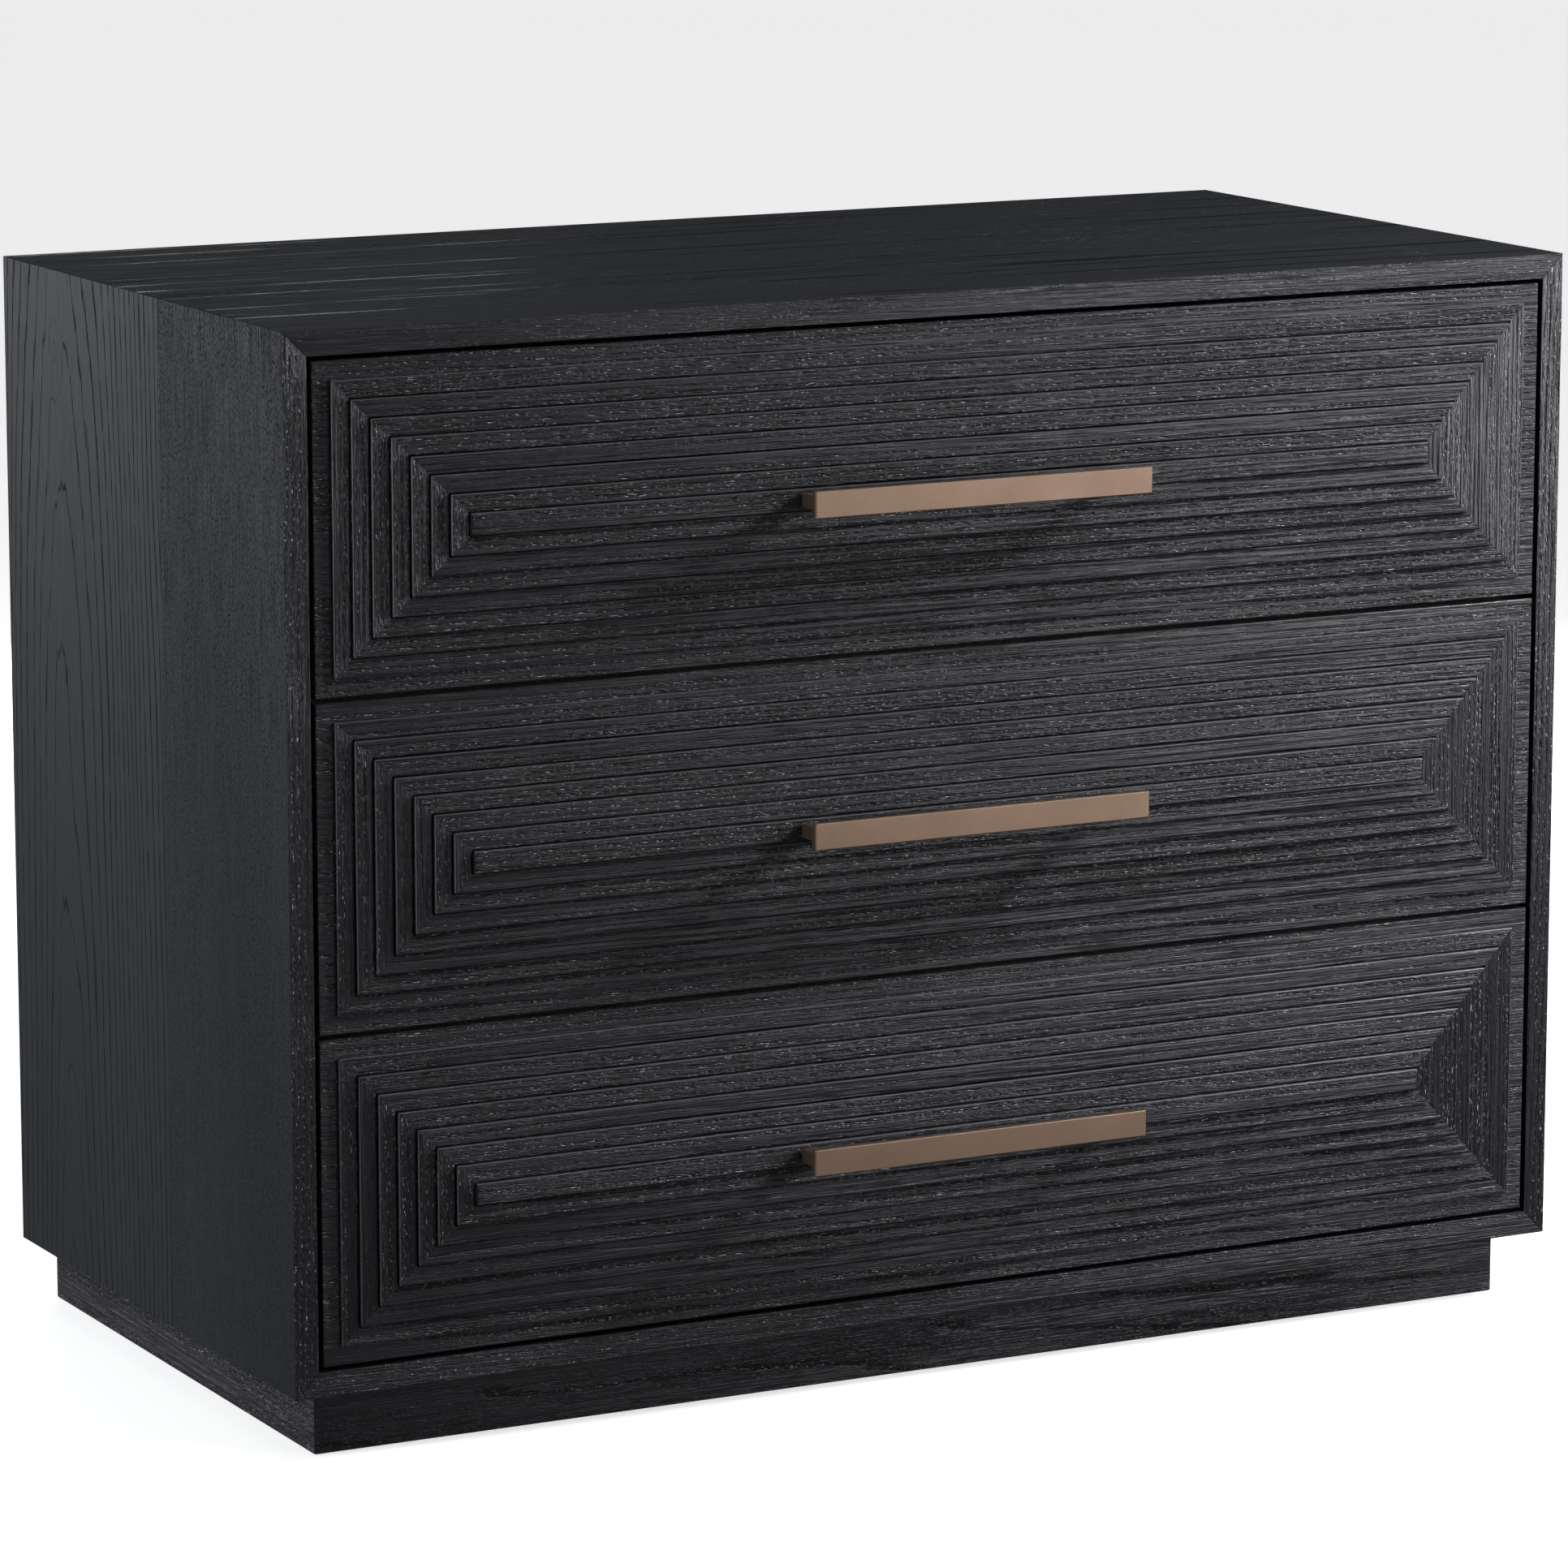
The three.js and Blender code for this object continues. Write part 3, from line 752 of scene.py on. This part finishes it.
def strip(name, low, high, along, out, seed):
    """One brushed strip. Its face is divided finely enough to hold the brushing, and the edge on
    its outer side is rounded over. Out is +1 or -1: which way the outer side lies."""
    axis = 0 if along.x else 2
    over = 2 if along.x else 0
    piece = sawn(name, low, high)
    length = high[axis] - low[axis]
    pick(piece, "EDGE", along_axis(axis))
    bpy.ops.mesh.subdivide(number_cuts=max(LEAST_CUTS, round(length / BRUSH_STEP)))
    shut()
    pick(piece, "EDGE", along_axis(over))
    bpy.ops.mesh.subdivide(number_cuts=CUTS_ACROSS)
    shut()
    outer = high[over] if out > 0 else low[over]
    inner = low[over] if out > 0 else high[over]
    ease(piece, STRIP_EASING, along_axis(axis, (1, low.y), (over, outer)), 3)
    ease(piece, STRIP_CHAMFER, along_axis(axis, (1, low.y), (over, inner)), 1)
    brush(piece, along, seed)
    return piece


fronts = []
for drawer in DRAWERS:
    name = f"{drawer}_drawer_front_board"
    low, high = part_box(name)
    board = sawn(name + "_oak", low, high)
    ease(board, BOARD_EASING, lambda a, b: abs(a.y - low.y) < HAIR and abs(b.y - low.y) < HAIR, 3)
    ease(board, BACK_EASING, lambda a, b: abs(a.y - high.y) < HAIR and abs(b.y - high.y) < HAIR, 1)
    smooth(board)
    board.data.materials.append(front_oak)
    grain(board, RIGHT, UP, log_place(0.0, 0.03))
    fit(board, f"{drawer}_drawer", "front_oak", name)

frames_low, frames_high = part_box("lower_drawer_stepped_frames")
seed = 0
for ring in range(FRAMES):
    inset = ring * STRIP_WIDTH
    face_y = pattern_low.y - STRIP_RISE * (ring + 1)
    left, right = frames_low.x + inset, frames_high.x - inset
    foot, head = frames_low.z + inset, frames_high.z - inset
    reach = STRIP_WIDTH - STRIP_GAP
    sides = (
        ("top", (left, head - reach), (right, head), RIGHT, 1),
        ("bottom", (left, foot), (right, foot + reach), RIGHT, -1),
        ("left", (left, foot), (left + reach, head), UP, -1),
        ("right", (right - reach, foot), (right, head), UP, 1),
    )
    for side, start, end, along, out in sides:
        seed += 1
        low = Vector((start[0], face_y, start[1]))
        high = Vector((end[0], frames_high.y, end[1]))
        pattern = strip(f"lower_drawer_frame_{ring + 1}_{side}_strip", low, high, along, out, seed)
        for x, turn_x in ((left, -1), (right, 1)):
            for z, turn_z in ((foot, -1), (head, 1)):
                touches = (turn_z == out) if along.x else (turn_x == out)
                if not touches:
                    continue
                facing = Vector((turn_x, 0, -turn_z)) if along.x else Vector((-turn_x, 0, turn_z))
                facing.normalize()
                saw(pattern, Vector((x, 0, z)) - facing * STRIP_MITRE / 2, facing)
                ease(pattern, STRIP_CORNER, lambda a, b: runs(a, b, 1)
                     and abs(a.x - x) < AT_CORNER and abs(a.z - z) < AT_CORNER, 2)
        smooth(pattern, degrees=40)
        fronts.append((pattern, along, Vector((0, 0, out)) if along.x else Vector((out, 0, 0))))

BAR_SEED = 99
inset = FRAMES * STRIP_WIDTH
low = Vector((frames_low.x + inset, frames_low.y, frames_low.z + inset))
high = Vector((frames_high.x - inset, frames_high.y, frames_high.z - inset))
bar = strip("lower_drawer_centre_strip", low, high, RIGHT, 1, BAR_SEED)
bar_front = low.y + STRIP_RISE * 0.8
bar_end = high.x


def round_bar_end(a, b):
    """Chooses the edges round the front of the bar's two end faces."""
    if abs(abs(a.x) - bar_end) > ON_LINE or abs(abs(b.x) - bar_end) > ON_LINE:
        return False
    return min(a.y, b.y) < bar_front and abs(a.y - b.y) < STRIP_CORNER


ease(bar, STRIP_EASING, round_bar_end, 2)
smooth(bar, degrees=40)
fronts.append((bar, RIGHT, UP))

# The easings that face outward take a paler colour: wood rubbed through the stain, made pale enough to be a
# painted highlight along the step edges.
FLATTER = 0.93
STEEPER = 0.12
OUTWARD = 0.1
for pattern, along, outward in fronts:
    for drawer in reversed(DRAWERS):
        name = pattern.name.replace("lower", drawer, 1)
        piece = pattern if drawer == "lower" else duplicate(pattern, name, drawer_lift(drawer))
        piece.data.materials.append(front_oak)
        piece.data.materials.append(rubbed_and_highlit_oak)
        for face in piece.data.polygons:
            rounded = STEEPER < -face.normal.y < FLATTER and face.normal.dot(outward) > OUTWARD
            face.material_index = 1 if rounded else 0
        grain(piece, along, UP if along.x else RIGHT, log_place(0.04, 0.30))
        fit(piece, f"{drawer}_drawer", "front_oak", f"{drawer}_drawer_stepped_frames")

# ---- Pulls -------------------------------------------------------------------------------------
# A flat bar of bead-blasted bronze across two square posts close to its ends, held by screws
# through the drawer front.
bronze = metal("champagne_bronze", (0.300, 0.206, 0.147), rough=0.52, speck=0.14,
               speck_size=0.0009, bump=0.00003)
BAR_THICKNESS = 0.005
BAR_EASING = 0.0007
POST_WIDTH = 0.010
POST_HEIGHT = 0.009
POST_INSET = 0.003
low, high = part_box("lower_drawer_pull")
pull = sawn("lower_drawer_pull_bronze", low, (high.x, low.y + BAR_THICKNESS, high.z))
pull_middle = (low.z + high.z) / 2
for x in (low.x + POST_INSET + POST_WIDTH, high.x - POST_INSET):
    score(pull, (x, 0, 0), RIGHT)
    score(pull, (x - POST_WIDTH, 0, 0), RIGHT)
for z in (pull_middle - POST_HEIGHT / 2, pull_middle + POST_HEIGHT / 2):
    score(pull, (0, 0, z), UP)
pick(pull, "FACE", lambda centre, normal: normal.y > 0.9 and abs(centre.z - pull_middle) < POST_HEIGHT / 2
     and high.x - POST_INSET - POST_WIDTH < abs(centre.x) < high.x - POST_INSET)
bpy.ops.mesh.extrude_region_move(TRANSFORM_OT_translate={"value": (0, high.y - low.y - BAR_THICKNESS, 0)})
shut()
pick(pull, "FACE", lambda centre, normal: True)
bpy.ops.mesh.dissolve_limited(angle_limit=math.radians(1))
shut()
round_over = pull.modifiers.new("easing", "BEVEL")
round_over.width = BAR_EASING
round_over.segments = 3
round_over.limit_method = "ANGLE"
round_over.angle_limit = math.radians(40)
bpy.ops.object.modifier_apply(modifier=round_over.name)
smooth(pull)
for drawer in reversed(DRAWERS):
    name = f"{drawer}_drawer_pull_bronze"
    piece = pull if drawer == "lower" else duplicate(pull, name, drawer_lift(drawer))
    piece.data.materials.append(bronze)
    fit(piece, f"{drawer}_drawer", "pull_bronze", f"{drawer}_drawer_pull")

# ---- Drawer boxes ------------------------------------------------------------------------------
# Boxes of 12 mm clear-lacquered oak, dovetailed at all four corners, with a 6 mm plywood bottom
# let into grooves. The box front is screwed to the drawer front from inside.
lacquered_oak = timber("lacquered_drawer_oak", (0.50, 0.37, 0.23), (0.30, 0.19, 0.10), ring=0.0045,
                       line=0.0015, dash=(0.008, 0.0004), relief=0.00004, matt=0.38, specks=0.25,
                       bloom=0.12)
lacquered_ply = timber("lacquered_drawer_ply", (0.54, 0.41, 0.26), (0.38, 0.26, 0.15), ring=0.009,
                       line=0.002, dash=(0.012, 0.0004), relief=0.00003, matt=0.4, tilt=0.07,
                       specks=0.2, bloom=0.12)
bright_zinc = metal("bright_zinc_screws", (0.58, 0.59, 0.6), rough=0.3, speck=0.12,
                    speck_size=0.0006, bump=0.00002)
TAILS = 5
TAIL_SLOPE = 0.0018
PIN_WIDTH = 0.011
FIT_GAP = 0.00012
BOX_EASING = 0.0012
PLY_EASING = 0.0004
GROOVE_DEPTH = 0.006
OVERCUT = 0.001
side_low, side_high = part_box("lower_drawer_left_side")
wall = side_high.x - side_low.x


def wedge(name, z_low, z_high, end_y, inward, flare, grow):
    """A tail or pin, square through the side's thickness, flaring from the board's end inward."""
    piece = sawn(name, (side_low.x - OVERCUT, min(end_y, end_y + inward * wall), z_low - grow),
                 (side_high.x + OVERCUT, max(end_y, end_y + inward * wall), z_high + grow))
    for sign, z in ((1, z_high + grow), (-1, z_low - grow)):
        pick(piece, "EDGE", lambda a, b: runs(a, b, 0)
             and abs(a.z - z) < HAIR and abs(a.y - end_y) < HAIR)
        bpy.ops.transform.translate(value=(0, 0, -sign * flare))
        shut()
    pick(piece, "FACE", lambda centre, normal: abs(centre.y - end_y) < HAIR)
    bpy.ops.transform.translate(value=(0, -inward * OVERCUT, 0))
    shut()
    return piece


side = sawn("lower_drawer_left_side_oak", side_low, side_high)
pitch = (side_high.z - side_low.z) / TAILS
sockets = []
for end_y, inward in ((side_low.y, 1), (side_high.y, -1)):
    for index in range(TAILS + 1):
        z = side_low.z + index * pitch
        sockets.append(wedge("socket", z - PIN_WIDTH / 2, z + PIN_WIDTH / 2, end_y, inward, TAIL_SLOPE, 0))
cut_away(side, sockets)
bottom_low, bottom_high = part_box("lower_drawer_bottom")
groove = sawn("groove", (side_high.x - GROOVE_DEPTH, side_low.y + wall / 2, bottom_low.z - FIT_GAP),
              (side_high.x + OVERCUT * 2, side_high.y - wall / 2, bottom_high.z + FIT_GAP))
cut_away(side, [groove])
ease(side, BOX_EASING, along_axis(1, (2, side_high.z)))
smooth(side)

walls = []
for which in ("front", "back"):
    low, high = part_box(f"lower_drawer_box_{which}")
    end_y, inward = (side_low.y, 1) if which == "front" else (side_high.y, -1)
    board = sawn(f"lower_drawer_box_{which}_oak", (side_low.x, low.y, low.z), (-side_low.x, high.y, high.z))
    tails = []
    for mirrored in (False, True):
        for index in range(TAILS):
            z = side_low.z + (index + 0.5) * pitch
            gap = (pitch - PIN_WIDTH) / 2
            tail = wedge("tail", z - gap, z + gap, end_y, inward, -TAIL_SLOPE, FIT_GAP)
            if mirrored:
                hold(tail)
                bpy.ops.transform.translate(value=(-side_low.x - side_high.x, 0, 0))
                bpy.ops.object.transform_apply()
            tails.append(tail)
    cut_away(board, tails)
    if which == "front":
        slot_near, slot_far = high.y - GROOVE_DEPTH, high.y + OVERCUT * 2
    else:
        slot_near, slot_far = low.y - OVERCUT * 2, low.y + GROOVE_DEPTH
    slot_x = bottom_high.x
    cut_away(board, [sawn("groove", (-slot_x, slot_near, bottom_low.z - FIT_GAP),
                          (slot_x, slot_far, bottom_high.z + FIT_GAP))])
    ease(board, BOX_EASING, along_axis(0, (2, high.z)))
    smooth(board)
    walls.append((board, which))

other_side = duplicate(side, "lower_drawer_right_side_oak", (0, 0, 0))
other_side.scale.x = -1
bpy.ops.object.transform_apply()
pick(other_side, "FACE", lambda centre, normal: True)
bpy.ops.mesh.normals_make_consistent(inside=False)
shut()
smooth(other_side)

floor_ply = sawn("lower_drawer_bottom_ply", bottom_low, bottom_high)
ease(floor_ply, PLY_EASING, lambda a, b: True, 1)
smooth(floor_ply)

box_parts = [(side, "left_side", BACK, lacquered_oak, "drawer_wood"),
             (other_side, "right_side", BACK, lacquered_oak, "drawer_wood"),
             (floor_ply, "bottom", RIGHT, lacquered_ply, "drawer_ply")]
box_parts += [(board, f"box_{which}", RIGHT, lacquered_oak, "drawer_wood") for board, which in walls]
for pattern, part, along, wood, slot in box_parts:
    for drawer in reversed(DRAWERS):
        name = pattern.name.replace("lower", drawer, 1)
        piece = pattern if drawer == "lower" else duplicate(pattern, name, drawer_lift(drawer))
        piece.data.materials.append(wood)
        grain(piece, along, UP if part != "bottom" else BACK, log_place(0.0, 0.08))
        fit(piece, f"{drawer}_drawer", slot, f"{drawer}_drawer_{part}")

# Six screw heads inside each box front: four hold the front, and two the pull.
HEAD_RADIUS = 0.0042
HEAD_RISE = 0.0019
HEAD_SUNK = 0.0003
FRONT_SCREW_OUT = 0.33
FRONT_SCREW_UP = 0.045
PULL_SCREW_OUT = 0.112
front_head = screw_head("front_screw_pattern", HEAD_RADIUS, HEAD_RISE)
head_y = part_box("lower_drawer_box_front")[1].y - HEAD_SUNK
middle_height = (side_low.z + side_high.z) / 2
places = [(x, head_y, middle_height + rise) for x in (-FRONT_SCREW_OUT, FRONT_SCREW_OUT)
          for rise in (-FRONT_SCREW_UP, FRONT_SCREW_UP)]
places += [(x, head_y, pull_middle) for x in (-PULL_SCREW_OUT, PULL_SCREW_OUT)]
screws = driven(front_head, "lower_drawer_front_screws", places, FACING_BACK, bright_zinc)
for drawer in reversed(DRAWERS):
    name = f"{drawer}_drawer_front_screws"
    piece = screws if drawer == "lower" else duplicate(screws, name, drawer_lift(drawer))
    fit(piece, f"{drawer}_drawer", "slide_steel")

# ---- Drawer slides -----------------------------------------------------------------------------
# Slides rolled from 1.2 mm zinc-plated strip, two to a drawer: a member screwed to the case, a
# member screwed to the drawer, and a middle one between them that runs half as far.
zinc = metal("zinc_plated_steel", (0.60, 0.62, 0.63), rough=0.30, speck=0.10, speck_size=0.004,
             bump=0.00001, stretch=(1, 0.25, 1))
GAUGE = 0.0012
FOLD = 0.0016
TUCK = FOLD * 0.6
LIP = 0.0030
SLIDE_SCREWS = (0.026, 0.122, 0.346)
SLIDE_HEAD_RADIUS = 0.0032
SLIDE_HEAD_RISE = 0.0009
slide_head = screw_head("slide_screw_pattern", SLIDE_HEAD_RADIUS, SLIDE_HEAD_RISE)


def rolled(name, web, flange, low, high):
    """A channel rolled from flat strip along Y. Web is the x of its back and flange that of its
    open side; low and high are its lowest and highest corners."""
    way = 1 if flange > web else -1
    middle_y = (low.y + high.y) / 2
    bpy.ops.object.select_all(action="DESELECT")
    bpy.ops.mesh.primitive_plane_add(size=1, location=(flange, middle_y, low.z))
    piece = bpy.context.object
    piece.name = name
    piece.data.name = name
    bpy.ops.object.transform_apply()
    pick(piece, "EDGE", lambda a, b: runs(a, b, 1) and a.x > flange)
    bpy.ops.mesh.delete(type="VERT")
    shut()
    lip = min(LIP, (high.z - low.z) / 4)
    arm = abs(flange - web) - FOLD - TUCK
    turns = (
        (0, -lip), (-way * TUCK, -FOLD), (-way * arm, 0), (-way * FOLD, FOLD),
        (0, high.z - low.z - 2 * FOLD),
        (way * FOLD, FOLD), (way * arm, 0), (way * TUCK, -FOLD), (0, -lip),
    )
    for vertex in piece.data.vertices:
        vertex.co = (flange, low.y if vertex.co.y < middle_y else high.y, low.z + FOLD + lip)
    pick(piece, "EDGE", lambda a, b: True)
    for dx, dz in turns:
        bpy.ops.mesh.extrude_region_move(TRANSFORM_OT_translate={"value": (dx, 0, dz)})
    bpy.ops.mesh.select_all(action="SELECT")
    bpy.ops.mesh.normals_make_consistent(inside=False)
    shut()
    gauge = piece.modifiers.new("gauge", "SOLIDIFY")
    gauge.thickness = GAUGE
    gauge.offset = -1
    gauge.use_even_offset = True
    bpy.ops.object.modifier_apply(modifier=gauge.name)
    smooth(piece)
    piece.data.materials.append(zinc)
    return piece


for drawer in DRAWERS:
    for side_name in ("left", "right"):
        prefix = f"{drawer}_{side_name}_slide"
        for member, body, to_case in (("cabinet", "case", True), ("middle", f"{drawer}_slide_middles", True),
                                      ("drawer", f"{drawer}_drawer", False)):
            node_name = f"{prefix}_{member}_member"
            low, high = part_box(node_name)
            outer_x, inner_x = (low.x, high.x) if side_name == "left" else (high.x, low.x)
            web, flange = (outer_x, inner_x) if to_case else (inner_x, outer_x)
            piece = rolled(node_name + "_steel", web, flange, low, high)
            fit(piece, body, "slide_steel", node_name)
            if member == "middle":
                continue
            inward = 1 if flange > web else -1
            level = (low.z + high.z) / 2
            holes = [(web + inward * GAUGE, low.y + from_end, level) for from_end in SLIDE_SCREWS]
            screws = driven(slide_head, f"{prefix}_{member}_screws", holes,
                            (0, math.radians(90 * inward), 0), bright_zinc)
            fit(screws, body, "slide_steel")

for pattern in (back_head, front_head, slide_head):
    bpy.data.objects.remove(pattern)
